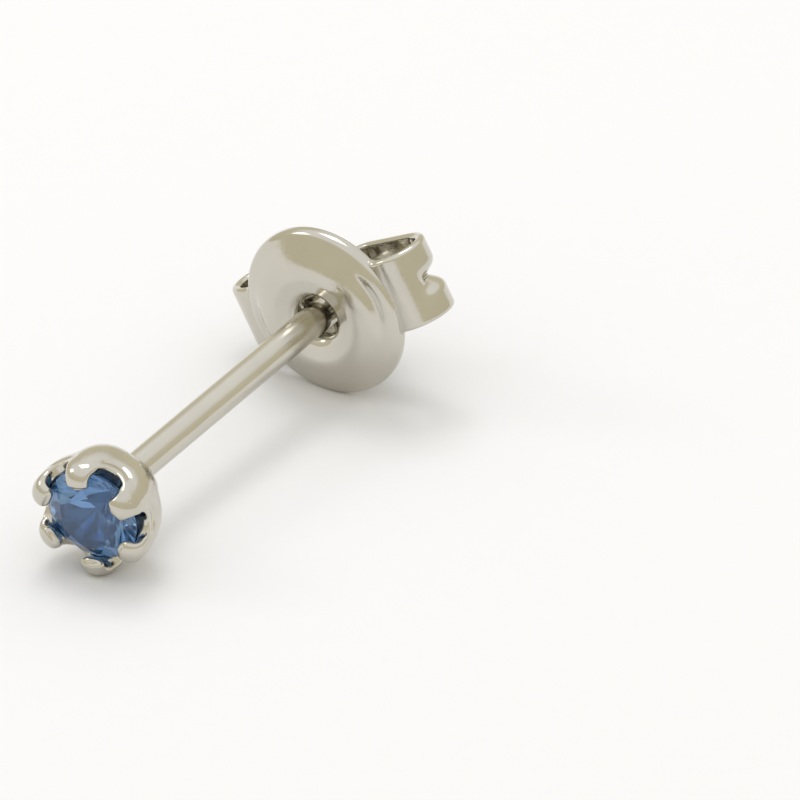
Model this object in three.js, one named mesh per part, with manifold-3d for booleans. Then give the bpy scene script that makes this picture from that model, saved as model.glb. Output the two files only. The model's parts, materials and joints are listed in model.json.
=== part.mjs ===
// A stud earring at its real size in millimetres: a six-claw setting soldered to its post,
// a round brilliant stone and a butterfly clutch of pressed sheet.
// Each piece is modelled about the post's axis, with +Z from the stone to the post's tip and
// +X along the clutch's wings. The whole is then laid down as it rests by itself.
import * as THREE from 'three';
import { ConvexHull } from 'three/addons/math/ConvexHull.js';
import { mergeVertices } from 'three/addons/utils/BufferGeometryUtils.js';
import Module from 'manifold-3d';

const wasm = await Module();
wasm.setup();

const DEGREE = Math.PI / 180;

// Stone
const STONE_DIAMETER = 2.5;
const TABLE_DIAMETER = 1.45;
const CROWN_ANGLE = 34 * DEGREE;
const STAR_ANGLE = 20 * DEGREE;
const UPPER_GIRDLE_ANGLE = 41 * DEGREE;
const PAVILION_ANGLE = 41 * DEGREE;
const LOWER_GIRDLE_ANGLE = 42.5 * DEGREE;
const GIRDLE_HEIGHT = 0.06;
const STONE_MAINS = 8;

// Claw setting
const CLAW_COUNT = 6;
const CLAW_WIDTH = 0.54;
const CLAW_THICKNESS = 0.36;
const CLAW_COVER = 0.23;
const CLAW_NUB_REACH = 0.97;
const CLAW_TURN = -8 * DEGREE;
const CUP_DEPTH = 1.62;
const CUP_NECK_DIAMETER = 1.2;
const SCALLOP_DEPTH = 0.4;
const SEAT_CLEARANCE = 0.03;
const PETAL_RELIEF = 0.08;
const HEAD_LEAN = 6 * DEGREE;
const HEAD_LEAN_SIDE = 66 * DEGREE;

// Post
const POST_DIAMETER = 0.8;
const POST_LENGTH = 11.7;
const POST_TIP_HEIGHT = 0.34;
const GROOVE_FROM_TIP = 1.15;
const GROOVE_LENGTH = 0.34;
const GROOVE_DEPTH = 0.07;
const SOLDER_FILLET = 0.16;

// Butterfly clutch
const DISC_DIAMETER = 4.6;
const SHEET = 0.25;
const RIM_RADIUS = 0.7;
const PAN_DEPTH = 0.78;
const HOLE_DIAMETER = 1.15;
const LIP_RADIUS = 0.32;
const LIP_HEIGHT = 0.55;
const WING_WIDTH = 2;
const WING_FILLET = 0.3;
const WING_SPAN = 6.2;
const OUTER_BEND_RADIUS = 0.74;
const CURL_RADIUS = 0.56;
const CURL_TURN = 190 * DEGREE;
const CURL_TAIL = 0.4;
const GROOVE_SINK = 0.32;
const GROOVE_WIDTH = 0.84;
const GROOVE_START = 55 * DEGREE;
const GROOVE_RAMP = 40 * DEGREE;
const CLUTCH_CLEARANCE = 0.04;
const CLUTCH_FROM_TIP = 3.3;

// Weights in grams per cubic millimetre, and the side that lies lowest in the photograph
const SILVER_DENSITY = 0.01036;
const STONE_DENSITY = 0.0036;
const LOW_SIDE = 118 * DEGREE;

// How finely round walls are divided
const ROUND_STEPS = 60;
const CORNER_STEPS = 5;
const BEND_STEP = 12 * DEGREE;
const ACROSS_STEPS = 12;

// Worked out from the sizes above
const stoneRadius = STONE_DIAMETER / 2;
const tableRadius = TABLE_DIAMETER / 2;
const postRadius = POST_DIAMETER / 2;
const discRadius = DISC_DIAMETER / 2;
const holeRadius = HOLE_DIAMETER / 2;
const crownHeight = (stoneRadius - tableRadius) * Math.tan(CROWN_ANGLE);
const girdleFront = CLAW_THICKNESS + CLAW_COVER * Math.tan(CROWN_ANGLE) + SEAT_CLEARANCE;
const girdleBack = girdleFront + GIRDLE_HEIGHT;
const culet = girdleBack + stoneRadius * Math.tan(PAVILION_ANGLE);
const clawInner = stoneRadius - CLAW_COVER;
const clawOuter = stoneRadius + SEAT_CLEARANCE + CLAW_THICKNESS;
const cupBack = girdleBack + CUP_DEPTH;
const postTip = cupBack + POST_LENGTH;
const clutchFront = postTip - CLUTCH_FROM_TIP;

// A closed geometry as a solid that can be joined and cut
function solid(geometry) {
  const bare = geometry.index ? geometry.toNonIndexed() : geometry.clone();
  bare.deleteAttribute('normal');
  bare.deleteAttribute('uv');
  const merged = mergeVertices(bare, 1e-5);
  const mesh = new wasm.Mesh({
    numProp: 3,
    vertProperties: new Float32Array(merged.attributes.position.array),
    triVerts: new Uint32Array(merged.index.array),
  });
  return new wasm.Manifold(mesh);
}

// A solid back as a geometry
function geometryOf(body) {
  const mesh = body.getMesh();
  const geometry = new THREE.BufferGeometry();
  geometry.setAttribute('position', new THREE.BufferAttribute(new Float32Array(mesh.vertProperties), 3));
  geometry.setIndex(new THREE.BufferAttribute(new Uint32Array(mesh.triVerts), 1));
  geometry.computeVertexNormals();
  return geometry;
}

// A geometry turned about Z from [radius, z] points that run with the metal on their left
// and start and end on the axis or close
function turned(points, steps = ROUND_STEPS) {
  const outline = points.map(([radius, z]) => new THREE.Vector2(Math.max(radius, 0), z));
  const lathe = new THREE.LatheGeometry(outline, steps);
  lathe.rotateX(Math.PI / 2);
  return lathe;
}

// Points of an arc in a [radius, z] profile, with both its ends
function arc(radius, z, bend, from, to) {
  const points = [];
  for (let i = 0; i <= CORNER_STEPS; i += 1) {
    const angle = from + ((to - from) * i) / CORNER_STEPS;
    points.push([radius + bend * Math.cos(angle), z + bend * Math.sin(angle)]);
  }
  return points;
}

// Everything beyond a facet plane that leans back from the stone's front or its back
function facetCut(azimuth, lean, radius, z, side) {
  const reach = STONE_DIAMETER * 2;
  const block = new THREE.BoxGeometry(reach, reach, reach);
  block.translate(0, 0, (side * reach) / 2);
  block.rotateY(side * lean);
  block.translate(radius, 0, z);
  block.rotateZ(azimuth);
  return solid(block);
}

// The round brilliant: a short cylinder cut by each ring of facets
function brilliant() {
  const table = girdleFront - crownHeight;
  const step = (2 * Math.PI) / STONE_MAINS;
  const starRadius = tableRadius * Math.cos(step / 2);
  const halfRadius = stoneRadius * Math.cos(step / 4);
  let body = solid(turned([
    [0, table],
    [stoneRadius, table],
    [stoneRadius, culet],
    [0, culet],
  ], STONE_MAINS * 8));
  for (let i = 0; i < STONE_MAINS; i += 1) {
    const main = i * step;
    body = body.subtract(facetCut(main, CROWN_ANGLE, stoneRadius, girdleFront, -1));
    body = body.subtract(facetCut(main + step / 2, STAR_ANGLE, starRadius, table, -1));
    body = body.subtract(facetCut(main, PAVILION_ANGLE, stoneRadius, girdleBack, 1));
    for (const turn of [step / 4, -step / 4]) {
      body = body.subtract(facetCut(main + turn, UPPER_GIRDLE_ANGLE, halfRadius, girdleFront, -1));
      body = body.subtract(facetCut(main + turn, LOWER_GIRDLE_ANGLE, halfRadius, girdleBack, 1));
    }
  }
  return body;
}

// The bowl, with a shallow valley between each pair of petals
function bowl() {
  const neck = CUP_NECK_DIAMETER / 2;
  const depth = cupBack - girdleBack;
  const profile = [[0, girdleFront], [clawOuter, girdleFront], [clawOuter, girdleBack]];
  for (let i = 1; i <= 2 * CORNER_STEPS; i += 1) {
    const angle = (90 * DEGREE * i) / (2 * CORNER_STEPS);
    profile.push([neck + (clawOuter - neck) * Math.cos(angle), girdleBack + depth * Math.sin(angle)]);
  }
  profile.push([0, cupBack]);
  const lathe = turned(profile);
  const position = lathe.attributes.position;
  for (let i = 0; i < position.count; i += 1) {
    const x = position.getX(i);
    const y = position.getY(i);
    const fade = Math.min(1, Math.hypot(x, y) / clawOuter) ** 2;
    const valley = (1 - Math.cos(CLAW_COUNT * (Math.atan2(y, x) - CLAW_TURN))) / 2;
    const share = 1 - (PETAL_RELIEF * fade * valley) / clawOuter;
    position.setXY(i, x * share, y * share);
  }
  return solid(lathe);
}

// A solid through rings of points that lie one behind another, each listed out along one
// face and back along the other
function lofted(rings) {
  const ring = rings[0].length;
  const triangles = [];
  for (let k = 0; k + 1 < rings.length; k += 1) {
    for (let i = 0; i < ring; i += 1) {
      const a = k * ring + i;
      const b = k * ring + ((i + 1) % ring);
      triangles.push(a, b, b + ring, a, b + ring, a + ring);
    }
  }
  const end = (rings.length - 1) * ring;
  for (let i = 0; i + 1 < ring / 2; i += 1) {
    const [a, b, c, d] = [i, i + 1, ring - 1 - i, ring - 2 - i];
    triangles.push(a, c, b, b, c, d);
    triangles.push(end + a, end + b, end + c, end + b, end + d, end + c);
  }
  const geometry = new THREE.BufferGeometry().setFromPoints(rings.flat());
  geometry.setIndex(triangles);
  return geometry;
}

// The middle line of a claw in [radius, z], and how full its section is there
function clawLine() {
  const bend = clawOuter - CLAW_THICKNESS - clawInner;
  const wall = clawOuter - CLAW_THICKNESS / 2;
  const turn = CLAW_THICKNESS / 2 + bend;
  const foot = girdleBack + SCALLOP_DEPTH + CLAW_THICKNESS;
  const rows = [{ radius: wall - CLAW_THICKNESS / 3, z: foot, way: 0, full: 1 }];
  for (let i = 0; i <= CORNER_STEPS; i += 1) {
    const way = (90 * DEGREE * i) / CORNER_STEPS;
    rows.push({
      radius: wall - bend * (1 - Math.cos(way)),
      z: turn - bend * Math.sin(way),
      way,
      full: 1,
    });
  }
  const last = rows[rows.length - 1];
  for (let i = 1; i <= CORNER_STEPS; i += 1) {
    const share = Math.sin((90 * DEGREE * i) / CORNER_STEPS) * CLAW_NUB_REACH;
    rows.push({
      radius: last.radius - (share * CLAW_THICKNESS) / 2,
      z: last.z,
      way: last.way,
      full: Math.sqrt(1 - share ** 2),
    });
  }
  return rows;
}

// One claw: a rounded bar that rises with the bowl's wall and bends in over the stone's edge
function claw(azimuth) {
  const sides = 4 * CORNER_STEPS;
  const rings = clawLine().map((row) => {
    const ring = [];
    for (let i = 0; i < sides; i += 1) {
      const angle = (2 * Math.PI * (i + 0.5)) / sides;
      const across = (row.full * CLAW_WIDTH * Math.cos(angle)) / 2;
      const lift = (row.full * CLAW_THICKNESS * Math.sin(angle)) / 2;
      const x = row.radius + lift * Math.cos(row.way);
      const z = row.z - lift * Math.sin(row.way);
      ring.push(new THREE.Vector3(x, across, z));
    }
    return ring;
  });
  const bar = lofted(rings);
  bar.rotateZ(azimuth);
  return solid(bar);
}

// The U between two claws, cut outward through the wall
function scallop(azimuth) {
  const pitch = (2 * Math.PI * clawOuter) / CLAW_COUNT;
  const half = (pitch - CLAW_WIDTH) / 2;
  const bottom = girdleBack + SCALLOP_DEPTH;
  const shape = new THREE.Shape();
  shape.moveTo(-half, -clawOuter);
  shape.lineTo(half, -clawOuter);
  shape.lineTo(half, bottom - half);
  shape.absarc(0, bottom - half, half, 0, Math.PI, false);
  shape.closePath();
  const cutter = new THREE.ExtrudeGeometry(shape, {
    depth: clawOuter,
    bevelEnabled: false,
    curveSegments: 2 * CORNER_STEPS,
  });
  cutter.rotateX(90 * DEGREE);
  cutter.rotateZ(90 * DEGREE);
  cutter.translate(clawOuter / 2, 0, 0);
  cutter.rotateZ(azimuth);
  return solid(cutter);
}

// The room for the stone, open to the front between the claws' ends
function seat() {
  const slope = SEAT_CLEARANCE / Math.cos(CROWN_ANGLE);
  const crown = girdleFront - CLAW_COVER * Math.tan(CROWN_ANGLE) - slope;
  return solid(turned([
    [0, -clawOuter],
    [clawInner, -clawOuter],
    [clawInner, crown],
    [stoneRadius + SEAT_CLEARANCE, girdleFront - SEAT_CLEARANCE],
    [stoneRadius + SEAT_CLEARANCE, girdleBack + SEAT_CLEARANCE],
    [0, culet + slope],
  ]));
}

// The post with its domed tip, its friction groove and the solder round its foot
function post() {
  const inside = culet + (cupBack - culet) / 2;
  const groove = postTip - GROOVE_FROM_TIP;
  const profile = [
    [0, inside],
    [postRadius + SOLDER_FILLET, inside],
    [postRadius + SOLDER_FILLET, cupBack - SOLDER_FILLET],
    ...arc(postRadius + SOLDER_FILLET, cupBack + SOLDER_FILLET, SOLDER_FILLET, -90 * DEGREE, -180 * DEGREE),
    [postRadius, groove - GROOVE_LENGTH / 2],
    [postRadius - GROOVE_DEPTH, groove - GROOVE_LENGTH / 6],
    [postRadius - GROOVE_DEPTH, groove + GROOVE_LENGTH / 6],
    [postRadius, groove + GROOVE_LENGTH / 2],
  ];
  for (let i = 0; i < CORNER_STEPS; i += 1) {
    const angle = (90 * DEGREE * i) / CORNER_STEPS;
    profile.push([postRadius * Math.cos(angle), postTip - POST_TIP_HEIGHT * (1 - Math.sin(angle))]);
  }
  profile.push([0, postTip]);
  return solid(turned(profile, ROUND_STEPS / 2));
}

// A geometry of the head leaned toward one side about the post's foot, as it was soldered on
function leaned(geometry) {
  const axis = new THREE.Vector3(-Math.sin(HEAD_LEAN_SIDE), Math.cos(HEAD_LEAN_SIDE), 0);
  geometry.translate(0, 0, -cupBack);
  geometry.applyMatrix4(new THREE.Matrix4().makeRotationAxis(axis, -HEAD_LEAN));
  geometry.translate(0, 0, cupBack);
  return geometry;
}

// The setting and its post, soldered into one solid
function settingAndPost() {
  const pitch = (2 * Math.PI) / CLAW_COUNT;
  let body = bowl();
  for (let i = 0; i < CLAW_COUNT; i += 1) {
    body = body.subtract(scallop(CLAW_TURN + (i + 0.5) * pitch));
  }
  for (let i = 0; i < CLAW_COUNT; i += 1) {
    body = body.add(claw(CLAW_TURN + i * pitch));
  }
  const head = leaned(geometryOf(body.subtract(seat())));
  return solid(head).add(post());
}

// The clutch's disc: a shallow pan whose hole has a lip turned in
function pan() {
  const rimRadius = discRadius - RIM_RADIUS;
  const lip = holeRadius + LIP_RADIUS;
  const right = 90 * DEGREE;
  const profile = [
    ...arc(lip, LIP_RADIUS, LIP_RADIUS, -2 * right, -right),
    ...arc(rimRadius, RIM_RADIUS, RIM_RADIUS, -right, 0),
    [discRadius, PAN_DEPTH],
    [discRadius - SHEET, PAN_DEPTH],
    ...arc(rimRadius, RIM_RADIUS, RIM_RADIUS - SHEET, 0, -right),
    ...arc(lip, LIP_RADIUS, LIP_RADIUS - SHEET, -right, -2 * right),
    [holeRadius + SHEET, LIP_HEIGHT],
    [holeRadius, LIP_HEIGHT],
  ];
  profile.push(profile[0]);
  return solid(turned(profile, ROUND_STEPS + ROUND_STEPS / 3));
}

// How far the pressed groove sinks at this place across the wing
function grooveSink(across) {
  const share = Math.min(1, Math.abs(across) / (GROOVE_WIDTH / 2));
  return GROOVE_SINK * Math.cos((share * Math.PI) / 2) ** 2;
}

// The least distance from the axis at which a wing's bands let the post pass in their groove
function bandDistance() {
  const clear = postRadius + CLUTCH_CLEARANCE;
  let least = 0;
  for (let i = 0; i <= 2 * ACROSS_STEPS; i += 1) {
    const across = (clear * i) / (2 * ACROSS_STEPS);
    least = Math.max(least, Math.sqrt(clear ** 2 - across ** 2) - grooveSink(across));
  }
  return least;
}

// The middle line of a wing in X and Z, from the disc's rim to the end of its curl.
// A row is a place, the way the line runs there, the groove's share and the share of the way out.
function wingLine() {
  const front = PAN_DEPTH - SHEET / 2;
  const outer = WING_SPAN / 2 - SHEET / 2 - OUTER_BEND_RADIUS;
  const back = front + 2 * OUTER_BEND_RADIUS;
  const curl = bandDistance() + SHEET / 2 + CURL_RADIUS;
  const rows = [];
  for (let i = 0; i < CORNER_STEPS; i += 1) {
    rows.push({ x: outer, z: front, way: 0, groove: 0, out: i / CORNER_STEPS });
  }
  const bendSteps = Math.round((180 * DEGREE) / BEND_STEP);
  for (let i = 0; i <= bendSteps; i += 1) {
    const way = (180 * DEGREE * i) / bendSteps;
    rows.push({
      x: outer + OUTER_BEND_RADIUS * Math.sin(way),
      z: front + OUTER_BEND_RADIUS * (1 - Math.cos(way)),
      way,
      groove: THREE.MathUtils.smoothstep(way, GROOVE_START, GROOVE_START + GROOVE_RAMP),
      out: 1,
    });
  }
  const curlSteps = Math.round(CURL_TURN / BEND_STEP);
  for (let i = 0; i <= curlSteps; i += 1) {
    const way = 180 * DEGREE + (CURL_TURN * i) / curlSteps;
    rows.push({
      x: curl + CURL_RADIUS * Math.sin(way),
      z: back - CURL_RADIUS * (1 + Math.cos(way)),
      way,
      groove: 1,
      out: 1,
    });
  }
  const last = rows[rows.length - 1];
  rows.push({
    ...last,
    x: last.x + CURL_TAIL * Math.cos(last.way),
    z: last.z + CURL_TAIL * Math.sin(last.way),
  });
  return rows;
}

// One wing: the sheet's section carried along its middle line
function wing(side) {
  const rim = discRadius - SHEET / 2;
  const rows = wingLine();
  const corners = [];
  for (const face of [1, -1]) {
    for (let i = 0; i <= ACROSS_STEPS; i += 1) {
      corners.push({ across: face * (i / ACROSS_STEPS - 0.5), face });
    }
  }
  const rings = rows.map((row) => {
    const fillet = WING_FILLET * (1 - Math.sqrt(1 - (1 - row.out) ** 2));
    return corners.map((corner) => {
      const across = corner.across * (WING_WIDTH + 2 * fillet);
      const start = Math.sqrt(Math.max(rim ** 2 - across ** 2, 0));
      const along = row.x + (1 - row.out) * (start - row.x);
      const lift = (corner.face * SHEET) / 2 - row.groove * grooveSink(across);
      const x = along + lift * Math.sin(row.way);
      const z = row.z - lift * Math.cos(row.way);
      return new THREE.Vector3(side * x, side * across, z);
    });
  });
  return solid(lofted(rings));
}

// The clutch: one piece of sheet, the pan with a wing curled in on either side
function clutch() {
  return pan().add(wing(1)).add(wing(-1));
}

// The volume of a geometry's solid and its centre, from the tetrahedra to the origin
function volumeAndCentre(geometry) {
  const position = geometry.attributes.position;
  const index = geometry.index;
  const corner = [new THREE.Vector3(), new THREE.Vector3(), new THREE.Vector3()];
  const centre = new THREE.Vector3();
  const normal = new THREE.Vector3();
  let volume = 0;
  for (let i = 0; i < index.count; i += 3) {
    for (let j = 0; j < 3; j += 1) {
      corner[j].fromBufferAttribute(position, index.getX(i + j));
    }
    const part = corner[0].dot(normal.crossVectors(corner[1], corner[2])) / 6;
    volume += part;
    for (let j = 0; j < 3; j += 1) {
      centre.addScaledVector(corner[j], part / 4);
    }
  }
  return { volume, centre: centre.divideScalar(volume) };
}

// The turn that lays the earring down on a face of its hull on which it balances, the one
// nearest to the way it lies in the photograph, with its post running along +Y
function restingTurn(meshes) {
  const points = [];
  const balance = new THREE.Vector3();
  let weight = 0;
  for (const piece of meshes) {
    const { volume, centre } = volumeAndCentre(piece.geometry);
    const mass = volume * piece.userData.density;
    balance.addScaledVector(centre, mass);
    weight += mass;
    const position = piece.geometry.attributes.position;
    for (let i = 0; i < position.count; i += 1) {
      points.push(new THREE.Vector3().fromBufferAttribute(position, i));
    }
  }
  balance.divideScalar(weight);
  const wanted = new THREE.Vector3(Math.cos(LOW_SIDE), Math.sin(LOW_SIDE), 0);
  const hull = new ConvexHull().setFromPoints(points);
  let down = null;
  for (const face of hull.faces) {
    if (face.area > 0 && isOver(face, balance)) {
      if (down === null || face.normal.dot(wanted) > down.dot(wanted)) {
        down = face.normal.clone();
      }
    }
  }
  const up = down.negate();
  const along = new THREE.Vector3(0, 0, 1).addScaledVector(up, -up.z).normalize();
  const across = new THREE.Vector3().crossVectors(along, up);
  const basis = new THREE.Matrix4().makeBasis(across, along, up);
  return new THREE.Quaternion().setFromRotationMatrix(basis.transpose());
}

// Whether the point lies straight over the hull's face, seen along the face's normal
function isOver(face, point) {
  let edge = face.edge;
  do {
    const from = edge.tail().point;
    const to = edge.head().point;
    const inward = new THREE.Vector3().crossVectors(face.normal, to.clone().sub(from));
    if (inward.dot(point.clone().sub(from)) < 0) {
      return false;
    }
    edge = edge.next;
  } while (edge !== face.edge);
  return true;
}

// A solid as a named mesh, with the density that finds where it balances
function named(name, body, material, density) {
  const piece = new THREE.Mesh(geometryOf(body), material);
  piece.name = name;
  piece.userData.density = density;
  return piece;
}

const silver = new THREE.MeshStandardMaterial({ color: 0xd8d4cc, metalness: 1, roughness: 0.12 });
const sheet = new THREE.MeshStandardMaterial({ color: 0xd3cfc4, metalness: 1, roughness: 0.1 });
const blue = new THREE.MeshStandardMaterial({ color: 0x5b86c0, metalness: 0, roughness: 0.03 });

const earring = new THREE.Group();
earring.add(named('claw_setting_and_post', settingAndPost(), silver, SILVER_DENSITY));
earring.add(named('stone', solid(leaned(geometryOf(brilliant()))), blue, STONE_DENSITY));
earring.add(named('butterfly_clutch', clutch().translate([0, 0, clutchFront]), sheet, SILVER_DENSITY));
earring.quaternion.copy(restingTurn(earring.children));
earring.updateMatrixWorld(true);
const box = new THREE.Box3().setFromObject(earring, true);
earring.position.set(-(box.min.x + box.max.x) / 2, -(box.min.y + box.max.y) / 2, -box.min.z);

export default earring;
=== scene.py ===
import json
import math

import bmesh
import bpy
from bpy.props import FloatProperty, FloatVectorProperty, IntProperty, PointerProperty
from mathutils import Matrix, Vector


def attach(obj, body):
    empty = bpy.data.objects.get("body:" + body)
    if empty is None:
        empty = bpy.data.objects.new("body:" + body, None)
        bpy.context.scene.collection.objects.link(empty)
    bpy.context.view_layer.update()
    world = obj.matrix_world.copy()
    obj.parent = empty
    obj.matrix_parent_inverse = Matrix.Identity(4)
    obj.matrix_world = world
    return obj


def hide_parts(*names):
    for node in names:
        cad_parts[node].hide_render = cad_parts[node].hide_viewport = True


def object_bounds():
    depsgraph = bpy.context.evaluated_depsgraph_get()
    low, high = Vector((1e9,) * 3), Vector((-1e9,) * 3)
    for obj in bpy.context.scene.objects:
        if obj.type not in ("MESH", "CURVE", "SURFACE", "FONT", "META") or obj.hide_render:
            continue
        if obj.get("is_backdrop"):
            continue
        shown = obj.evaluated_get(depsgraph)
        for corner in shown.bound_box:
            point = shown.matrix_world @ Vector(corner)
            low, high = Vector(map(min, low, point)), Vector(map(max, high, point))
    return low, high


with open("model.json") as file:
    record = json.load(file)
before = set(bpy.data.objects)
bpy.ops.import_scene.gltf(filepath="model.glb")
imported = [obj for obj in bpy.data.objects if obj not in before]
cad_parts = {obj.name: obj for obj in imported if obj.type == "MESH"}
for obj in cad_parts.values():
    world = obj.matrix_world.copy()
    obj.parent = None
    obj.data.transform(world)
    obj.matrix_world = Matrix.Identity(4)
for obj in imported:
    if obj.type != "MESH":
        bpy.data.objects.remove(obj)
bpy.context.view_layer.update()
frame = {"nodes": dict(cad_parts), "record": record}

bl_info = {
    "name": "Stud Earring",
    "version": (1, 0, 0),
    "blender": (4, 5, 0),
    "location": "3D View > Sidebar > Stud Earring",
    "description": "Dresses a stud earring: claw setting, post, stone and butterfly clutch",
    "category": "Add Mesh",
}

MM = 0.001
SETTING = "claw_setting_and_post"
STONE = "stone"
CLUTCH = "butterfly_clutch"

# From the plane of the claws' ends to the post's tip, in millimetres
POST_TIP = 13.925


# Places read from the frame, and the kinds of property

def volume_centre(name):
    """The centre of a closed CAD solid's volume."""
    mesh = frame["nodes"][name].data
    mesh.calc_loop_triangles()
    total = 0.0
    centre = Vector()
    for triangle in mesh.loop_triangles:
        a, b, c = (mesh.vertices[i].co for i in triangle.vertices)
        part = a.dot(b.cross(c))
        total += part
        centre += part * (a + b + c) / 4
    return centre / total


def post_frame():
    """The place of the post's axis: z runs from the claws' ends to the post's tip, x along the wings."""
    along = Vector(frame["record"]["behaviour"]["joints"][0]["axis"]).normalized()
    on_axis = volume_centre(CLUTCH)
    tip = max((v.co - on_axis).dot(along) for v in frame["nodes"][SETTING].data.vertices)
    origin = on_axis + along * (tip - POST_TIP * MM)
    first = Vector((1, 0, 0))
    second = along.cross(first).normalized()
    first = second.cross(along)
    xx = yy = xy = 0.0
    for vertex in frame["nodes"][CLUTCH].data.vertices:
        offset = vertex.co - origin
        x, y = offset.dot(first), offset.dot(second)
        xx, yy, xy = xx + x * x, yy + y * y, xy + x * y
    turn = math.atan2(2 * xy, xx - yy) / 2
    wing = first * math.cos(turn) + second * math.sin(turn)
    side = along.cross(wing)
    rotation = Matrix((wing, side, along)).transposed().to_4x4()
    return Matrix.Translation(origin) @ rotation


PLACE = post_frame()
INVERSE = PLACE.inverted()
CLUTCH_FRONT = min((INVERSE @ v.co).z for v in frame["nodes"][CLUTCH].data.vertices) / MM


def linear(code):
    """The linear colour of an sRGB hex value."""
    parts = [int(code[i:i + 2], 16) / 255 for i in (1, 3, 5)]
    return [c / 12.92 if c <= 0.04045 else ((c + 0.055) / 1.055) ** 2.4 for c in parts]


def size(name, description, millimetres):
    """A length that a user can change, with its default in millimetres."""
    return FloatProperty(
        name=name, description=description, default=millimetres * MM,
        min=0, unit="LENGTH", precision=5,
    )


def degrees(name, description, angle):
    """An angle that a user can change, with its default in degrees."""
    return FloatProperty(name=name, description=description, default=math.radians(angle), unit="ROTATION")


def number(name, description, value, least):
    """A count that a user can change, up to a dozen."""
    return IntProperty(name=name, description=description, default=value, min=least, max=12)


def tint(name, description, code):
    """A colour that a user can change, with its default as an sRGB hex value."""
    return FloatVectorProperty(
        name=name, description=description, default=linear(code),
        size=3, min=0, max=1, subtype="COLOR",
    )


class SettingSizes(bpy.types.PropertyGroup):
    claw_count: number("Claws", "How many claws hold the stone", 6, 3)
    claw_width: size("Claw width", "Width of a claw's rounded end", 0.56)
    claw_thickness: size("Claw thickness", "Thickness of a claw", 0.36)
    claw_cover: size("Claw cover", "How far a claw lies over the stone's edge", 0.23)
    claw_turn: degrees("Claw turn", "Turn of the claws from the wings' direction", -8)
    lean: degrees("Lean", "How far the head leans about the post's foot", 6)
    lean_side: degrees("Lean side", "The side that the head leans toward", 66)
    cup_depth: size("Cup depth", "From the stone's edge to the cup's back", 1.62)
    cup_neck: size("Cup neck", "Width of the cup where the post leaves it", 1.2)
    clearance: size("Seat clearance", "Gap between the seat and the stone", 0.03)
    scallop: size("Scallop depth", "How deep the wall dips between two claws", 0.18)
    scallop_height: size("Scallop height", "From the scallop's bottom to its widest place", 0.95)
    petal: size("Petal relief", "Depth of the valley between two petals of the cup", 0.16)
    crease: size("Crease", "Depth of the crease that runs beside a scallop's edge", 0.05)
    grain: size("Casting grain", "Size of the cells that the cast surface is made of", 0.028)
    metal: tint("Metal", "Colour that polished, plated silver gives back", "#D0CCC1")


class PostSizes(bpy.types.PropertyGroup):
    diameter: size("Wire diameter", "Thickness of the post", 0.8)
    tip_height: size("Tip height", "Height of the post's rounded tip", 0.34)
    groove_from_tip: size("Groove place", "From the tip to the middle of the friction groove", 1.15)
    groove_length: size("Groove length", "Length of the friction groove", 0.34)
    groove_depth: size("Groove depth", "Depth of the friction groove", 0.07)
    solder: size("Solder fillet", "Radius of the solder round the post's foot", 0.16)


class StoneSizes(bpy.types.PropertyGroup):
    diameter: size("Diameter", "Width of the stone at its girdle", 2.5)
    table: size("Table", "Width of the flat table between its corners", 1.45)
    girdle: size("Girdle", "Height of the girdle", 0.06)
    mains: number("Main facets", "Main facets round the crown and the pavilion", 8, 6)
    crown: degrees("Crown angle", "Lean of the crown's main facets", 34)
    star: degrees("Star angle", "Lean of the star facets round the table", 20)
    upper: degrees("Upper girdle angle", "Lean of the facets over the girdle", 41)
    pavilion: degrees("Pavilion angle", "Lean of the pavilion's main facets", 41)
    lower: degrees("Lower girdle angle", "Lean of the facets under the girdle", 42.5)
    blue: tint("Blue", "Colour of the stone", "#7FAEE6")


class ClutchSizes(bpy.types.PropertyGroup):
    disc: size("Disc diameter", "Width of the round disc", 4.6)
    sheet: size("Sheet", "Thickness of the silver sheet", 0.25)
    sink_radius: size("Sink radius", "Radius of the shallow sink round the hole", 1.15)
    sink_angle: degrees("Sink angle", "How far the shallow sink round the hole leans", 15)
    rim: size("Rim radius", "Radius of the bend round the disc's rim", 0.22)
    dome: degrees("Dome angle", "How far the disc leans back where its rim bends", 28.5)
    depth: size("Pan depth", "From the disc's front to the wall's back edge", 0.78)
    hole: size("Hole", "Width of the hole for the post", 1.15)
    lip: size("Lip radius", "Radius of the lip that is turned in at the hole", 0.32)
    lip_height: size("Lip height", "How far the lip is turned in", 0.55)
    wing_width: size("Wing width", "Width of the strip that makes a wing", 2.0)
    wing_span: size("Wing span", "From one wing's outer bend to the other's", 6.2)
    wing_fillet: size("Wing fillet", "Radius where a wing leaves the disc", 0.3)
    outer_bend: size("Outer bend", "Radius of the bend at a wing's outer end", 0.74)
    curl: size("Curl", "Radius of the curl that grips the post", 0.56)
    tail: size("Curl tail", "Length of the strip's end inside the curl", 0.5)
    groove_depth: size("Groove depth", "Depth of the groove pressed along a wing", 0.32)
    groove_width: size("Groove width", "Width of the groove pressed along a wing", 0.84)
    grip: size("Running gap", "Gap between a curl and the post", 0.04)
    metal: tint("Metal", "Colour that polished, plated silver sheet gives back", "#CFCBC0")


class StageSizes(bpy.types.PropertyGroup):
    azimuth: degrees("Camera azimuth", "How far round the camera stands from the stone's side", 33.3)
    elevation: degrees("Camera elevation", "How high the camera stands over the floor", 30.3)
    distance: size("Camera distance", "From the camera to the earring", 455.6)
    lens: FloatProperty(
        name="Lens", description="Focal length on a 36 mm sensor", default=823, min=20, unit="CAMERA",
    )
    aside: size("Aim aside", "How far right of the earring the camera is aimed", 4.24)
    below: size("Aim below", "How far under the earring the camera is aimed", 0.44)
    paper: tint("Floor", "Colour of the paper that the earring lies on", "#EFEFF1")


# Meshes in millimetres about the post's axis

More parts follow.
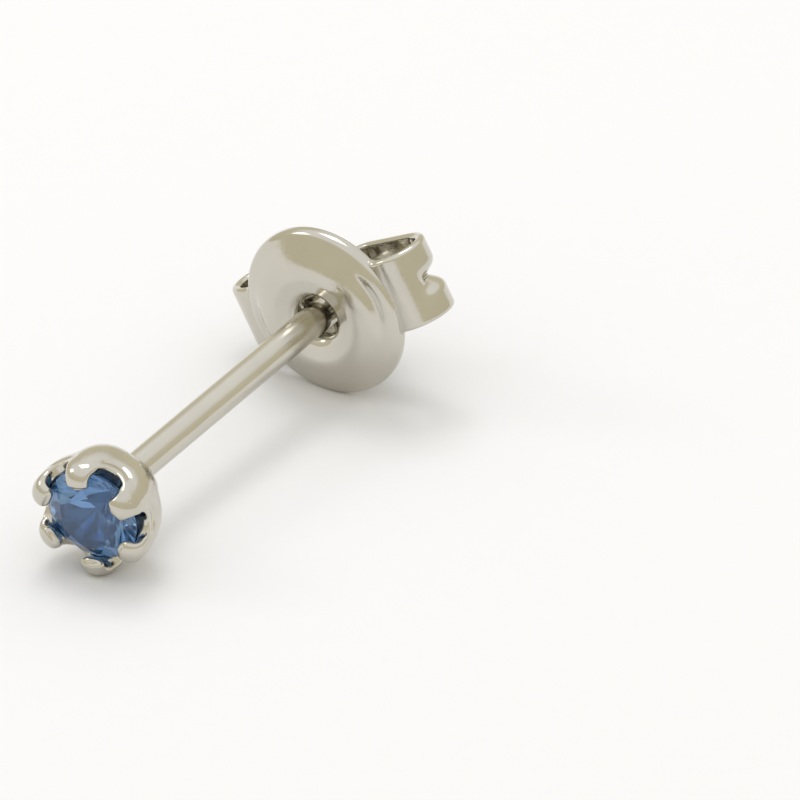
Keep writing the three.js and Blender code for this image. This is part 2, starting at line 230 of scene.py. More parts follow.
def mesh_from(name, points, faces):
    """A closed mesh with its faces turned outward."""
    shape = bmesh.new()
    corners = [shape.verts.new(p) for p in points]
    for face in faces:
        ring = list(dict.fromkeys(face))
        if len(ring) > 2:
            shape.faces.new([corners[i] for i in ring])
    bmesh.ops.recalc_face_normals(shape, faces=shape.faces)
    mesh = bpy.data.meshes.new(name)
    shape.to_mesh(mesh)
    shape.free()
    return mesh


def turned(name, profile, steps, closed=False):
    """A mesh turned about the axis from (radius, z) points."""
    points, rings, faces = [], [], []
    for radius, z in profile:
        count = steps if radius > 1e-6 else 1
        rings.append([len(points) + i for i in range(count)])
        for i in range(count):
            angle = 2 * math.pi * i / steps
            points.append((radius * math.cos(angle), radius * math.sin(angle), z))
    for low, high in zip(rings, rings[1:] + rings[:1] if closed else rings[1:]):
        for i in range(steps):
            a, b = low[i % len(low)], low[(i + 1) % len(low)]
            c, d = high[(i + 1) % len(high)], high[i % len(high)]
            faces.append((a, b, c, d))
    return mesh_from(name, points, faces)


def lofted(name, rings):
    """A mesh through rings that each run out along one face and back along the other."""
    count = len(rings[0])
    faces = []
    for k in range(len(rings) - 1):
        for i in range(count):
            j = (i + 1) % count
            faces.append((k * count + i, k * count + j, (k + 1) * count + j, (k + 1) * count + i))
    end = (len(rings) - 1) * count
    for i in range(count // 2):
        a, b, c, d = i, i + 1, (count - i) % count, (count - i - 1) % count
        faces.append((a, b, d, c))
        faces.append((end + a, end + b, end + d, end + c))
    return mesh_from(name, [p for ring in rings for p in ring], faces)


def arc(radius, z, bend, start, end, steps):
    """Points of an arc in a (radius, z) profile, in degrees."""
    angles = [math.radians(start + (end - start) * i / steps) for i in range(steps + 1)]
    return [(radius + bend * math.cos(a), z + bend * math.sin(a)) for a in angles]


def piece_from(name, mesh):
    """An object for a mesh, linked to the scene."""
    piece = bpy.data.objects.new(name, mesh)
    bpy.context.scene.collection.objects.link(piece)
    return piece


def settle(piece):
    """Applies a piece's modifiers to its mesh."""
    graph = bpy.context.evaluated_depsgraph_get()
    mesh = bpy.data.meshes.new_from_object(piece.evaluated_get(graph))
    old = piece.data
    piece.modifiers.clear()
    piece.data = mesh
    bpy.data.meshes.remove(old)


def combine(piece, other, operation):
    """Joins another mesh to a piece or cuts it away, and removes it."""
    tool = piece_from("tool", other)
    step = piece.modifiers.new("combine", "BOOLEAN")
    step.operation = operation
    step.solver = "MANIFOLD"
    step.object = tool
    settle(piece)
    bpy.data.objects.remove(tool)
    bpy.data.meshes.remove(other)


def moved(mesh, matrix):
    """A mesh after a move."""
    mesh.transform(matrix)
    return mesh


def leaned(mesh, setting, head):
    """The head's mesh leaned to one side about the post's foot, as it was soldered on."""
    axis = Vector((-math.sin(setting.lean_side), math.cos(setting.lean_side), 0))
    foot = Matrix.Translation((0, 0, head["cup"]))
    return moved(mesh, foot @ Matrix.Rotation(-setting.lean, 4, axis) @ foot.inverted())


def bump(distance, width):
    """A smooth hill of height 1 and about the given half width."""
    return math.exp(-(distance / width) ** 2)


def finished(piece, material, body, node, smooth=True):
    """Puts a piece from its millimetres into the frame, with its finish, its body and the node it stands for."""
    piece.data.transform(PLACE @ Matrix.Scale(MM, 4))
    piece.data.materials.clear()
    piece.data.materials.append(material)
    for face in piece.data.polygons:
        face.use_smooth = smooth
    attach(piece, body)
    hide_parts(node)


# Materials

def add(tree, kind, values=None, links=None, **settings):
    """Adds a node with its settings, its sockets' values and its links."""
    node = tree.nodes.new(kind)
    for name, value in settings.items():
        setattr(node, name, value)
    for socket, value in (values or {}).items():
        node.inputs[socket].default_value = value
    for socket, output in (links or {}).items():
        tree.links.new(output, node.inputs[socket])
    return node


def new_material(name):
    """An empty material with its shader and the place of each point in millimetres about the post's axis."""
    material = bpy.data.materials.new(name)
    material.use_nodes = True
    tree = material.node_tree
    tree.nodes.clear()
    shader = add(tree, "ShaderNodeBsdfPrincipled")
    add(tree, "ShaderNodeOutputMaterial", links={"Surface": shader.outputs["BSDF"]})
    place = add(tree, "ShaderNodeTexCoord")
    turn = add(
        tree, "ShaderNodeMapping",
        {"Scale": (1 / MM,) * 3, "Rotation": INVERSE.to_euler(), "Location": INVERSE.translation / MM},
        {"Vector": place.outputs["Object"]},
    )
    return material, tree, shader, turn.outputs["Vector"]


def shade(colour, share):
    """A colour made lighter or darker, with its alpha."""
    return (*(min(1, c * share) for c in colour), 1)


def noise(tree, place, per_mm, detail, roughness=0.5):
    """Soft random waves, so many to the millimetre."""
    values = {"Scale": per_mm, "Detail": detail, "Roughness": roughness}
    return add(tree, "ShaderNodeTexNoise", values, {"Vector": place}).outputs["Fac"]


def relief(tree, strength, height, source, under=None):
    """Relief of a height in millimetres, over the relief that lies under it."""
    links = {"Height": source}
    if under is not None:
        links["Normal"] = under.outputs["Normal"]
    return add(tree, "ShaderNodeBump", {"Strength": strength, "Distance": height * MM}, links)


def mapped(tree, source, low, high, to_low, to_high, curve="LINEAR"):
    """A value carried from one range to another."""
    values = {"From Min": low, "From Max": high, "To Min": to_low, "To Max": to_high}
    return add(tree, "ShaderNodeMapRange", values, {"Value": source}, interpolation_type=curve)


def blend(tree, colour, first, last, source):
    """A colour that drifts between a lighter and a darker one."""
    values = {"A": shade(colour, first), "B": shade(colour, last)}
    return add(tree, "ShaderNodeMix", values, {"Factor": source}, data_type="RGBA")


def polish(tree, shader, dull, film, marks):
    """Links a metal's roughness, colour and relief to its shader."""
    shader.inputs["Metallic"].default_value = 1
    tree.links.new(dull.outputs["Result"], shader.inputs["Roughness"])
    tree.links.new(film.outputs["Result"], shader.inputs["Base Color"])
    tree.links.new(marks.outputs["Normal"], shader.inputs["Normal"])


def cast_silver(colour):
    """Sterling silver, cast and tumble polished, then plated: bright, with soft waves and a few casting pits."""
    material, tree, shader, place = new_material("cast_polished_silver")
    waves = noise(tree, place, 1.6, 2, 0.4)
    fine = noise(tree, place, 14, 3, 0.6)
    cells = add(tree, "ShaderNodeTexVoronoi", {"Scale": 2.4, "Randomness": 1}, {"Vector": place})
    pits = mapped(tree, cells.outputs["Distance"], 0.03, 0.13, 0, 1, "SMOOTHSTEP")
    grain = relief(tree, 0.5, 0.002, fine, relief(tree, 1, 0.012, waves))
    holes = relief(tree, 0.3, 0.012, pits.outputs["Result"], grain)
    dull = mapped(tree, fine, 0.35, 0.7, 0.1, 0.2)
    polish(tree, shader, dull, blend(tree, colour, 1, 0.86, waves), holes)
    return material


def drawn_wire(colour):
    """Silver wire, drawn and polished: bright, with faint lines along the post."""
    material, tree, shader, place = new_material("drawn_polished_silver_wire")
    stretch = add(tree, "ShaderNodeMapping", {"Scale": (9, 9, 0.5)}, {"Vector": place})
    lines = noise(tree, stretch.outputs["Vector"], 2, 3, 0.55)
    waves = noise(tree, place, 1.1, 2, 0.4)
    marks = relief(tree, 0.5, 0.003, lines, relief(tree, 1, 0.008, waves))
    dull = mapped(tree, lines, 0.3, 0.7, 0.12, 0.24)
    polish(tree, shader, dull, blend(tree, colour, 1.02, 0.9, waves), marks)
    return material


def pressed_sheet(colour):
    """Silver sheet, stamped, curled and barrel polished: bright, with a faint orange peel."""
    material, tree, shader, place = new_material("pressed_polished_silver_sheet")
    waves = noise(tree, place, 1.3, 2, 0.4)
    peel = noise(tree, place, 12, 2)
    marks = relief(tree, 0.4, 0.002, peel, relief(tree, 1, 0.008, waves))
    dull = mapped(tree, peel, 0.3, 0.7, 0.09, 0.17)
    polish(tree, shader, dull, blend(tree, colour, 1, 0.9, waves), marks)
    return material


def blue_stone(colour):
    """Clear blue stone, cut and polished: flat facets that let most of the light in and throw part back."""
    material, tree, shader, place = new_material("faceted_blue_stone")
    body = blend(tree, colour, 1.1, 0.8, noise(tree, place, 0.9, 2))
    tree.links.new(body.outputs["Result"], shader.inputs["Base Color"])
    shader.inputs["Transmission Weight"].default_value = 0.86
    shader.inputs["IOR"].default_value = 1.6
    shader.inputs["Roughness"].default_value = 0.04
    return material


def floor_paper(colour):
    """Plain matt paper with a grain too fine to stand out."""
    material, tree, shader, place = new_material("matt_paper")
    body = blend(tree, colour, 1, 0.985, noise(tree, place, 2, 3))
    tree.links.new(body.outputs["Result"], shader.inputs["Base Color"])
    shader.inputs["Roughness"].default_value = 0.9
    return material


# The claw setting

# In millimetres: how far behind the stone's edge a claw's foot is sunk in the wall, the most that a claw reaches to
# either side, and the ledge that the setting tool leaves on its end
CLAW_FOOT = 0.9
CLAW_REACH = 0.42
LEDGE = 0.06

# Where the crease runs and how wide it is, against the scallop's own size
CREASE_PLACE = 1.3
CREASE_WIDTH = 0.09

CUP_STEPS = 480
BOWL_STEPS = 80
SMOOTHING_ROUNDS = 5


def head_sizes(context):
    """Distances shared by the setting's parts, in millimetres, and the crown's angle."""
    setting, stone = context.scene.earring_setting, context.scene.earring_stone
    radius = stone.diameter / MM / 2
    thickness, cover, clear = setting.claw_thickness / MM, setting.claw_cover / MM, setting.clearance / MM
    front = thickness + cover * math.tan(stone.crown) + clear
    back = front + stone.girdle / MM
    return {
        "radius": radius, "front": front, "back": back, "clear": clear, "crown": stone.crown,
        "culet": back + radius * math.tan(stone.pavilion),
        "inner": radius - cover, "outer": radius + clear + thickness,
        "thickness": thickness, "cup": back + setting.cup_depth / MM,
    }


def scallop_width(setting, head, z):
    """Half the width of the dip between two claws, a half ellipse that is open to the front."""
    pitch = 2 * math.pi * head["outer"] / setting.claw_count
    tall = setting.scallop_height / MM
    share = (z - head["back"] - setting.scallop / MM + tall) / tall
    return (pitch - setting.claw_width / MM) / 2 * math.sqrt(max(0, 1 - max(0, share) ** 2))


def cup_radius(setting, head, z):
    """The bowl's radius at a height: upright beside the stone, then an ellipse in to the neck."""
    neck = setting.cup_neck / MM / 2
    share = min(1, max(0, (z - head["back"]) / (head["cup"] - head["back"])))
    return neck + (head["outer"] - neck) * math.sqrt(1 - share ** 2)


def cup(setting, head):
    """The bowl: petals with a valley between each two, and a crease beside each scallop."""
    girdle, depth = head["back"] - head["front"], head["cup"] - head["back"]
    heights = [head["front"] + girdle * i / 4 for i in range(5)]
    heights += [head["back"] + depth * math.sin(math.pi / 2 * i / BOWL_STEPS) for i in range(1, BOWL_STEPS + 1)]
    profile = [(0, head["front"])] + [(cup_radius(setting, head, z), z) for z in heights] + [(0, head["cup"])]
    mesh = turned("cup", profile, CUP_STEPS)
    petal, crease, tall = setting.petal / MM, setting.crease / MM, setting.scallop_height / MM
    wide = scallop_width(setting, head, 0)
    low = head["back"] + setting.scallop / MM
    pitch = 2 * math.pi / setting.claw_count
    for vertex in mesh.vertices:
        x, y, z = vertex.co
        away = math.hypot(x, y)
        fade = min(1, away / head["outer"]) ** 2
        angle = (math.atan2(y, x) - setting.claw_turn) % pitch - pitch / 2
        valley = (1 + math.cos(setting.claw_count * angle)) / 2
        ring = math.hypot(angle * away / wide, max(0, z - low + tall) / tall)
        dent = petal * valley ** 1.3 + crease * bump(ring - CREASE_PLACE, CREASE_WIDTH)
        share = 1 - dent * fade / head["outer"]
        vertex.co = (x * share, y * share, z)
    return mesh


def scallop(setting, head, azimuth):
    """The rounded dip between two claws, cut outward through the wall."""
    low, tall = head["back"] + setting.scallop / MM, setting.scallop_height / MM
    steps = 24
    heights = [low - tall * (1 - math.sin(math.pi / 2 * i / steps)) for i in range(steps + 1)]
    right = [(scallop_width(setting, head, z), z) for z in heights]
    section = right + [(-y, z) for y, z in reversed(right[:-1])]
    section += [(-right[0][0], -head["outer"]), (right[0][0], -head["outer"])]
    inside, outside = head["outer"] / 2, head["outer"] * 1.5
    points = [Vector((x, y, z)) for x in (inside, outside) for y, z in section]
    count = len(section)
    faces = [tuple(range(count)), tuple(range(2 * count - 1, count - 1, -1))]
    faces += [(i, (i + 1) % count, count + (i + 1) % count, count + i) for i in range(count)]
    return moved(mesh_from("scallop", points, faces), Matrix.Rotation(azimuth, 4, "Z"))


def claw_rows(setting, head):
    """The middle line of a claw: radius, height, the way it leans, how full it is and the ledge's depth."""
    thickness = head["thickness"]
    half = thickness / 2
    bend = head["outer"] - thickness - head["inner"]
    foot, shoulder = head["back"] + CLAW_FOOT, half + bend
    rows = []
    steps = 12
    for i in range(steps):
        share = i / steps
        z = foot + (shoulder - foot) * share
        rows.append((cup_radius(setting, head, z) - half - thickness / 3 * (1 - share) ** 2, z, 0, 1, 0))
    for i in range(steps + 1):
        way = math.pi / 2 * i / steps
        rows.append((head["outer"] - half - bend * (1 - math.cos(way)), half + bend * (1 - math.sin(way)), way, 1, 0))
    radius, z, way = rows[-1][:3]
    for i in range(1, steps + 1):
        share = math.sin(math.pi / 2 * i / steps) * 0.985
        rows.append((radius - share * half, z, way, math.sqrt(1 - share ** 2), LEDGE * bump(share - 0.5, 0.22)))
    return rows


def claw(setting, head, azimuth):
    """A rounded finger that rises with the wall, narrows to its end and bends in over the stone."""
    sides = 32
    pitch = math.pi * head["outer"] / setting.claw_count
    rings = []
    for radius, z, way, full, ledge in claw_rows(setting, head):
        half = min(pitch - scallop_width(setting, head, z), CLAW_REACH)
        ring = []
        for i in range(sides):
            angle = 2 * math.pi * i / sides
            lift = full * head["thickness"] / 2 * math.sin(angle) - ledge * max(0, math.sin(angle))
            across = half * full ** 0.9 * math.cos(angle)
            ring.append(Vector((radius + lift * math.cos(way), across, z - lift * math.sin(way))))
        rings.append(ring)
    return moved(lofted("claw", rings), Matrix.Rotation(azimuth, 4, "Z"))


def seat(head):
    """The room for the stone, open to the front between the claws."""
    clear, outer = head["clear"], head["outer"]
    slope = clear / math.cos(head["crown"])
    crown = head["front"] - (head["radius"] - head["inner"]) * math.tan(head["crown"]) - slope
    profile = [
        (0, -outer), (head["inner"], -outer), (head["inner"], crown),
        (head["radius"] + clear, head["front"] - clear), (head["radius"] + clear, head["back"] + clear),
        (0, head["culet"] + slope),
    ]
    return turned("seat", profile, 120)


def solder(post, head):
    """The solder that runs up the post's foot, from inside the cup's back to a thin edge on the wire."""
    radius, fillet = post.diameter / MM / 2, post.solder / MM
    inside = head["culet"] + (head["cup"] - head["culet"]) * 0.6
    edge = head["cup"] + fillet * 1.3
    profile = [(0, inside), (radius + fillet, inside), (radius + fillet, head["cup"] - fillet / 2)]
    profile += arc(radius + fillet, head["cup"] + fillet, fillet, -90, -170, 8)
    profile += [(radius - 0.05, edge), (0, edge)]
    return turned("solder", profile, 64)


class EARRING_OT_setting(bpy.types.Operator):
    """Adds the claw setting, cast in one piece and polished"""
    bl_idname = "earring.setting"
    bl_label = "Claw Setting"

    def execute(self, context):
        setting = context.scene.earring_setting
        head = head_sizes(context)
        piece = piece_from("claw_setting", cup(setting, head))
        pitch = 2 * math.pi / setting.claw_count
        turns = [setting.claw_turn + i * pitch for i in range(setting.claw_count)]
        for turn in turns:
            combine(piece, scallop(setting, head, turn + pitch / 2), "DIFFERENCE")
        for turn in turns:
            combine(piece, claw(setting, head, turn), "UNION")
        combine(piece, seat(head), "DIFFERENCE")
        leaned(piece.data, setting, head)
        combine(piece, solder(context.scene.earring_post, head), "UNION")
        skin = piece.modifiers.new("skin", "REMESH")
        skin.mode = "VOXEL"
        skin.voxel_size = setting.grain / MM
        soften = piece.modifiers.new("soften", "SMOOTH")
        soften.factor = 0.5
        soften.iterations = SMOOTHING_ROUNDS
        settle(piece)
        finished(piece, cast_silver(setting.metal), "stud", SETTING)
        return {"FINISHED"}


# The post

# In millimetres: how deep the wire is sunk in the cup's back, and the dimple that the cutter left in its tip
SUNK = 0.2
DIMPLE = 0.03
DIMPLE_WIDTH = 0.09
DIMPLE_PLACE = (0.06, -0.08)


class EARRING_OT_post(bpy.types.Operator):
    """Adds the post with its rounded tip and friction groove"""
    bl_idname = "earring.post"
    bl_label = "Post"

    def execute(self, context):
        post = context.scene.earring_post
        radius, tip = post.diameter / MM / 2, post.tip_height / MM
        middle = POST_TIP - post.groove_from_tip / MM
        length, depth = post.groove_length / MM, post.groove_depth / MM
        start = head_sizes(context)["cup"] - SUNK
        shaft_steps, groove_steps, tip_steps = 60, 24, 20
        profile = [(0, start)]
        profile += [(radius, start + (middle - length - start) * i / shaft_steps) for i in range(shaft_steps)]
        for i in range(groove_steps + 1):
            share = i / groove_steps * 2 - 1
            profile.append((radius - depth * math.cos(share * math.pi / 2) ** 1.4, middle + share * length / 2))
        for i in range(tip_steps):
            angle = math.pi / 2 * i / tip_steps
            profile.append((radius * math.cos(angle), POST_TIP - tip * (1 - math.sin(angle))))
        profile.append((0, POST_TIP))
        piece = piece_from("post", turned("post", profile, 96))
        for vertex in piece.data.vertices:
            if vertex.co.z > POST_TIP - tip:
                away = math.hypot(vertex.co.x - DIMPLE_PLACE[0], vertex.co.y - DIMPLE_PLACE[1])
                vertex.co.z -= DIMPLE * bump(away, DIMPLE_WIDTH)
        finished(piece, drawn_wire(context.scene.earring_setting.metal), "stud", SETTING)
        return {"FINISHED"}


# The stone

class EARRING_OT_stone(bpy.types.Operator):
    """Adds the round brilliant stone, cut facet by facet"""
    bl_idname = "earring.stone"
    bl_label = "Stone"

    def execute(self, context):
        stone = context.scene.earring_stone
        head = head_sizes(context)
        radius, table_radius = head["radius"], stone.table / MM / 2
        table = head["front"] - (radius - table_radius) * math.tan(stone.crown)
        step = 2 * math.pi / stone.mains
        rough = [(0, table), (radius, table), (radius, head["culet"]), (0, head["culet"])]
        mesh = turned("stone", rough, stone.mains * 16)
        shape = bmesh.new()
        shape.from_mesh(mesh)

        def facet(azimuth, lean, away, z, side):
            """Cuts off what lies beyond a facet's plane."""
            outward = Vector((math.cos(azimuth), math.sin(azimuth), 0))
            upright = Vector((0, 0, 1))
            bmesh.ops.bisect_plane(
                shape, geom=shape.verts[:] + shape.edges[:] + shape.faces[:], dist=1e-6, clear_outer=True,
                plane_co=outward * away + upright * z,
                plane_no=outward * math.sin(lean) + upright * side * math.cos(lean),
            )
            bmesh.ops.holes_fill(shape, edges=[e for e in shape.edges if e.is_boundary])

        for i in range(stone.mains):
            main = i * step
            facet(main, stone.crown, radius, head["front"], -1)
            facet(main + step / 2, stone.star, table_radius * math.cos(step / 2), table, -1)
            facet(main, stone.pavilion, radius, head["back"], 1)
            for turn in (step / 4, -step / 4):
                facet(main + turn, stone.upper, radius * math.cos(step / 4), head["front"], -1)
                facet(main + turn, stone.lower, radius * math.cos(step / 4), head["back"], 1)
        bmesh.ops.remove_doubles(shape, verts=shape.verts, dist=1e-4)
        bmesh.ops.recalc_face_normals(shape, faces=shape.faces)
        shape.to_mesh(mesh)
        shape.free()
        piece = piece_from("round_brilliant", leaned(mesh, context.scene.earring_setting, head))
        finished(piece, blue_stone(stone.blue), "stud", STONE, smooth=False)
        return {"FINISHED"}


# The butterfly clutch

# In millimetres: the length of sheet left for the rounding of a cut edge, the folds that the press left in the disc
# beside the wings, and half the width of the groove's flat floor
EDGE_ROOM = 0.08
FOLD = 0.085
FOLD_PLACE = 1.88
FOLD_WIDTH = 0.13
GROOVE_FLOOR = 0.04

# In radians: half the length of a fold, how far round a wing's outer bend its groove starts and is full after that,
# and how far the curl turns
FOLD_TURN = 0.36
GROOVE_START = math.radians(55)
GROOVE_RAMP = math.radians(40)
CURL_TURN = math.radians(190)

PAN_STEPS = 256


def pan_rows(clutch):
    """The disc's front face from the hole's lip to the wall's back edge: radius, height and the way it runs."""
    radius, hole, lip, rim = clutch.disc / MM / 2, clutch.hole / MM / 2, clutch.lip / MM, clutch.rim / MM
    flat, sink, dome, upright = clutch.sink_radius / MM, clutch.sink_angle, clutch.dome, math.pi / 2
    inner = hole + lip * (1 - math.sin(sink))
    fall = (flat - inner) * math.tan(sink)
    deep = fall - lip * (1 - math.cos(sink))
    rows = [(hole, clutch.lip_height / MM - EDGE_ROOM, -upright)]
    for i in range(17):
        way = -upright + (upright - sink) * i / 16
        rows.append((hole + lip * (1 + math.sin(way)), deep + lip * (1 - math.cos(way)), way))
    rows += [(inner + (flat - inner) * i / 6, fall * (1 - i / 6), -sink) for i in range(1, 6)]
    shoulder = radius - rim * (1 - math.sin(dome))
    z, away = 0.0, flat
    steps = 36
    for i in range(steps + 1):
        share = i / steps
        way = dome * (1 - (1 - share) ** 3)
        place = flat + (shoulder - flat) * share
        z += (place - away) * math.tan(way)
        away = place
        rows.append((place, z, way))
    for i in range(1, 13):
        way = dome + (upright - dome) * i / 12
        rise = math.cos(dome) - math.cos(way)
        rows.append((shoulder + rim * (math.sin(way) - math.sin(dome)), z + rim * rise, way))
    rows.append((radius, clutch.depth / MM - EDGE_ROOM, upright))
    return rows


def pan(clutch):
    """The disc: a domed pan whose hole has a lip turned in, with a fold beside each wing."""
    sheet = clutch.sheet / MM
    edge = sheet * 0.3
    rows = pan_rows(clutch)
    front = [(r, z) for r, z, _ in rows]
    back = [(r - sheet * math.sin(way), z + sheet * math.cos(way)) for r, z, way in reversed(rows)]
    wall, wall_end = front[-1]
    hole, hole_end = front[0]
    lip, lip_end = back[-1]
    rim = arc(wall - edge, wall_end, edge, 0, 90, 6)[1:] + arc(wall - sheet + edge, wall_end, edge, 90, 180, 6)[:-1]
    turned_in = arc(lip - edge, lip_end, edge, 0, 90, 6)[1:] + arc(hole + edge, hole_end, edge, 90, 180, 6)[:-1]
    mesh = turned("pan", front + rim + back + turned_in, PAN_STEPS, closed=True)
    for vertex in mesh.vertices:
        x, y, z = vertex.co
        fold = bump(math.hypot(x, y) - FOLD_PLACE, FOLD_WIDTH) * bump(math.atan2(abs(y), abs(x)), FOLD_TURN)
        vertex.co.z = z + FOLD * fold
    return mesh


def groove_sink(clutch, across):
    """How far the pressed groove sinks at a place across the wing."""
    half = clutch.groove_width / MM / 2
    share = min(1, max(0, (abs(across) - GROOVE_FLOOR) / (half - GROOVE_FLOOR)))
    return clutch.groove_depth / MM * math.cos(share * math.pi / 2) ** 2


def band_distance(clutch, post):
    """The least distance from the axis at which a wing's bands let the post pass in their groove."""
    clear = post.diameter / MM / 2 + clutch.grip / MM
    places = [clear * i / 40 for i in range(41)]
    return max(math.sqrt(max(clear ** 2 - a ** 2, 0)) - groove_sink(clutch, a) for a in places)


def wing_rows(clutch, post):
    """The middle line of a wing from the rim to the end of its curl.

    Each row has the place, the way it runs, the groove's share, the share of the way out and the width's share.
    """
    sheet = clutch.sheet / MM
    front = clutch.depth / MM - sheet / 2
    bend, curl, tail = clutch.outer_bend / MM, clutch.curl / MM, clutch.tail / MM
    outer = clutch.wing_span / MM / 2 - sheet / 2 - bend
    back = front + 2 * bend
    middle = band_distance(clutch, post) + sheet / 2 + curl
    rows = [(outer, front, 0, 0, i / 10, 1) for i in range(10)]
    steps = 48
    for i in range(steps + 1):
        way = math.pi * i / steps
        share = min(1, max(0, (way - GROOVE_START) / GROOVE_RAMP))
        groove = share * share * (3 - 2 * share)
        rows.append((outer + bend * math.sin(way), front + bend * (1 - math.cos(way)), way, groove, 1, 1))
    flat = outer - middle
    if flat > 0:
        rows += [(outer - flat * i / 8, back, math.pi, 1, 1, 1) for i in range(1, 8)]
    for i in range(steps + 1):
        way = math.pi + CURL_TURN * i / steps
        rows.append((middle + curl * math.sin(way), back - curl * (1 + math.cos(way)), way, 1, 1, 1))
    x, z, way = rows[-1][:3]
    for i in range(1, 17):
        share = math.sin(math.pi / 2 * i / 16) * 0.99
        width = math.sqrt(1 - share ** 2) * 0.6 + 0.4 * (1 - share ** 4)
        rows.append((x + tail * share * math.cos(way), z + tail * share * math.sin(way), way, 1, 1, max(width, 0.12)))
    return rows


def wing(clutch, post, side):
    """The sheet's rounded section carried along the wing's middle line."""
    sheet = clutch.sheet / MM
    rim, width, round_edge = clutch.disc / MM / 2 - sheet / 2, clutch.wing_width / MM, sheet * 0.42
    count, nudge = 64, 1e-3
    places = [0.65 * (2 * i / count - 1) - 0.35 * math.cos(math.pi * i / count) for i in range(count + 1)]
    rings = []
    for x, z, way, groove, out, share in wing_rows(clutch, post):
        fillet = clutch.wing_fillet / MM * (1 - math.sqrt(1 - (1 - out) ** 2))
        half = (width / 2 + fillet) * share
        faces = []
        for face in (1, -1):
            line = []
            for place in places:
                across = place * half
                over = max(0, (abs(across) - half + round_edge) / round_edge)
                rise = face * sheet / 2 * math.sqrt(max(0, 1 - over ** 2))
                climb = groove_sink(clutch, across + nudge) - groove_sink(clutch, across - nudge)
                slope = groove * climb / (2 * nudge)
                steep = math.hypot(1, slope)
                at = across + rise * slope / steep
                lift = rise / steep - groove * groove_sink(clutch, across)
                start = math.sqrt(max(rim ** 2 - at ** 2, 0))
                along = x + (1 - out) * (start - x) + lift * math.sin(way)
                line.append(Vector((side * along, side * at, z - lift * math.cos(way))))
            faces.append(line)
        rings.append(faces[0] + faces[1][-2:0:-1])
    return lofted("wing", rings)


class EARRING_OT_clutch(bpy.types.Operator):
    """Adds the butterfly clutch, pressed and curled from one sheet"""
    bl_idname = "earring.clutch"
    bl_label = "Butterfly Clutch"

    def execute(self, context):
        clutch, post = context.scene.earring_clutch, context.scene.earring_post
        shape = bmesh.new()
        for mesh in (pan(clutch), wing(clutch, post, 1), wing(clutch, post, -1)):
            shape.from_mesh(mesh)
            bpy.data.meshes.remove(mesh)
        mesh = bpy.data.meshes.new("butterfly_clutch_sheet")
        shape.to_mesh(mesh)
        shape.free()
        mesh.transform(Matrix.Translation((0, 0, CLUTCH_FRONT)))
        piece = piece_from("pressed_clutch", mesh)
        finished(piece, pressed_sheet(clutch.metal), "clutch", CLUTCH)
        return {"FINISHED"}


# The stage

# In millimetres: how far the paper reaches, and its thickness
PAPER_REACH = 400
PAPER_THICKNESS = 0.4

# The light from all round by the sine of its height, from straight below (0) to straight above (1)
SKY = (
    (0.0, "#DDD7C0"), (0.4, "#E2DDC7"), (0.49, "#E4DFCC"),
    (0.53, "#F6F4F0"), (0.7, "#FFFFFF"), (1.0, "#FFFFFF"),
)

# Each lamp's place from the earring's middle and its width in metres, and its power in watts
LAMPS = {
    "overhead_softbox": ((-0.1, 0.1, 0.35), 0.16, 0.3),
    "side_softbox": ((-0.35, -0.15, 0.25), 0.12, 0.12),
}

def softbox(name, middle, offset, width, power):
    """A soft square lamp turned to the earring's middle."""
    lamp = bpy.data.lights.new(name, "AREA")
    lamp.shape = "SQUARE"
    lamp.size = width
    lamp.energy = power
    holder = bpy.data.objects.new(name, lamp)
    holder.location = middle + Vector(offset)
    holder.rotation_euler = (middle - holder.location).to_track_quat("-Z", "Y").to_euler()
    bpy.context.scene.collection.objects.link(holder)


def studio_world():
    """Soft light from all round: white overhead, and the beige of a room's walls low down."""
    world = bpy.data.worlds.new("soft_studio")
    world.use_nodes = True
    tree = world.node_tree
    tree.nodes.clear()
    place = add(tree, "ShaderNodeTexCoord")
    split = add(tree, "ShaderNodeSeparateXYZ", links={"Vector": place.outputs["Generated"]})
    ramp = add(tree, "ShaderNodeValToRGB", links={"Fac": split.outputs["Z"]})
    while len(ramp.color_ramp.elements) < len(SKY):
        ramp.color_ramp.elements.new(0.5)
    for element, (at, code) in zip(ramp.color_ramp.elements, SKY):
        element.position = at
        element.color = (*linear(code), 1)
    light = add(tree, "ShaderNodeBackground", {"Strength": 1.0}, {"Color": ramp.outputs["Color"]})
    add(tree, "ShaderNodeOutputWorld", links={"Surface": light.outputs["Background"]})
    bpy.context.scene.world = world


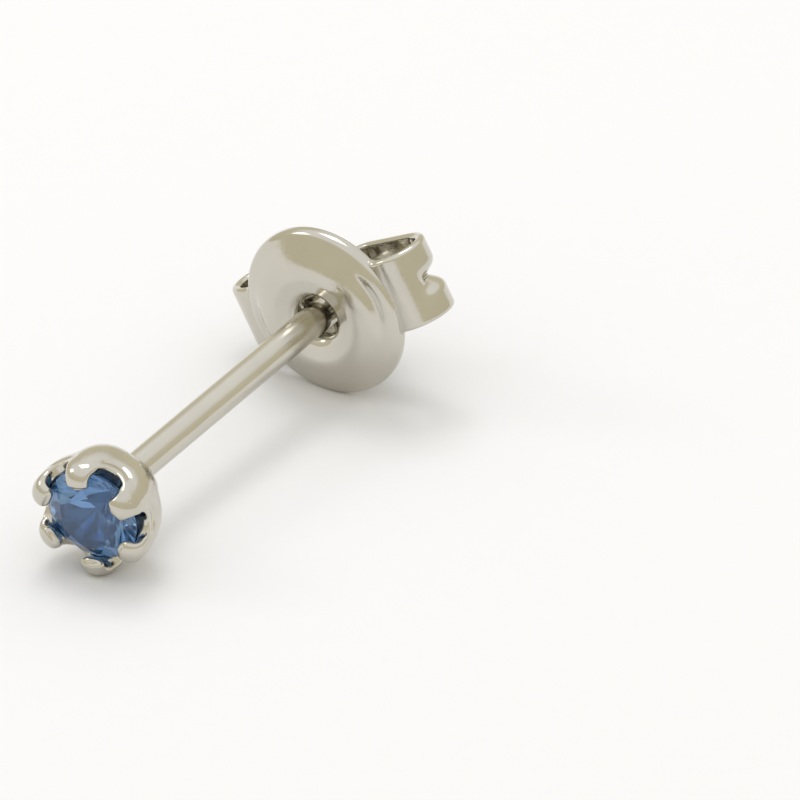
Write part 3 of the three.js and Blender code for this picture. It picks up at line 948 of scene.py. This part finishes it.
class EARRING_OT_stage(bpy.types.Operator):
    """Adds the floor, the soft studio light and the camera"""
    bl_idname = "earring.stage"
    bl_label = "Stage"

    def execute(self, context):
        stage = context.scene.earring_stage
        low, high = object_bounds()
        middle = (low + high) / 2
        under, reach = -PAPER_THICKNESS, PAPER_REACH
        paper = turned("floor", [(0, under), (reach, under), (reach, 0), (0, 0)], 96)
        paper.transform(Matrix.Scale(MM, 4))
        paper.materials.append(floor_paper(stage.paper))
        piece_from("floor", paper)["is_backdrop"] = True
        studio_world()
        for name, (offset, width, power) in LAMPS.items():
            softbox(name, middle, offset, width, power)
        lens = bpy.data.cameras.new("camera")
        lens.type = "PERSP"
        lens.lens = stage.lens
        lens.sensor_width = 36
        lens.clip_start, lens.clip_end = 0.01, 10
        holder = bpy.data.objects.new("camera", lens)
        a, e = stage.azimuth, stage.elevation
        back = Vector((math.sin(a) * math.cos(e), -math.cos(a) * math.cos(e), math.sin(e)))
        right = Vector((math.cos(a), math.sin(a), 0))
        over = back.cross(right)
        holder.location = middle + right * stage.aside - over * stage.below + back * stage.distance
        holder.rotation_euler = (-back).to_track_quat("-Z", "Y").to_euler()
        context.scene.collection.objects.link(holder)
        context.scene.camera = holder
        context.scene.view_settings.view_transform = "Standard"
        return {"FINISHED"}


class EARRING_PT_sidebar(bpy.types.Panel):
    """Lists the earring's pieces"""
    bl_idname = "EARRING_PT_sidebar"
    bl_label = "Stud Earring"
    bl_space_type = "VIEW_3D"
    bl_region_type = "UI"
    bl_category = "Stud Earring"

    def draw(self, context):
        for step in STEPS:
            self.layout.operator(step.bl_idname)


STEPS = (EARRING_OT_setting, EARRING_OT_post, EARRING_OT_stone, EARRING_OT_clutch, EARRING_OT_stage)
GROUPS = {
    "earring_setting": SettingSizes,
    "earring_post": PostSizes,
    "earring_stone": StoneSizes,
    "earring_clutch": ClutchSizes,
    "earring_stage": StageSizes,
}


def register():
    for group in GROUPS.values():
        bpy.utils.register_class(group)
    for name, group in GROUPS.items():
        setattr(bpy.types.Scene, name, PointerProperty(type=group))
    for step in STEPS:
        bpy.utils.register_class(step)
    bpy.utils.register_class(EARRING_PT_sidebar)


def unregister():
    bpy.utils.unregister_class(EARRING_PT_sidebar)
    for step in reversed(STEPS):
        bpy.utils.unregister_class(step)
    for name in GROUPS:
        delattr(bpy.types.Scene, name)
    for group in reversed(GROUPS.values()):
        bpy.utils.unregister_class(group)


def main():
    register()
    bpy.ops.earring.setting()
    bpy.ops.earring.post()
    bpy.ops.earring.stone()
    bpy.ops.earring.clutch()
    bpy.ops.earring.stage()
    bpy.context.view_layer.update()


if __name__ == "__main__":
    main()
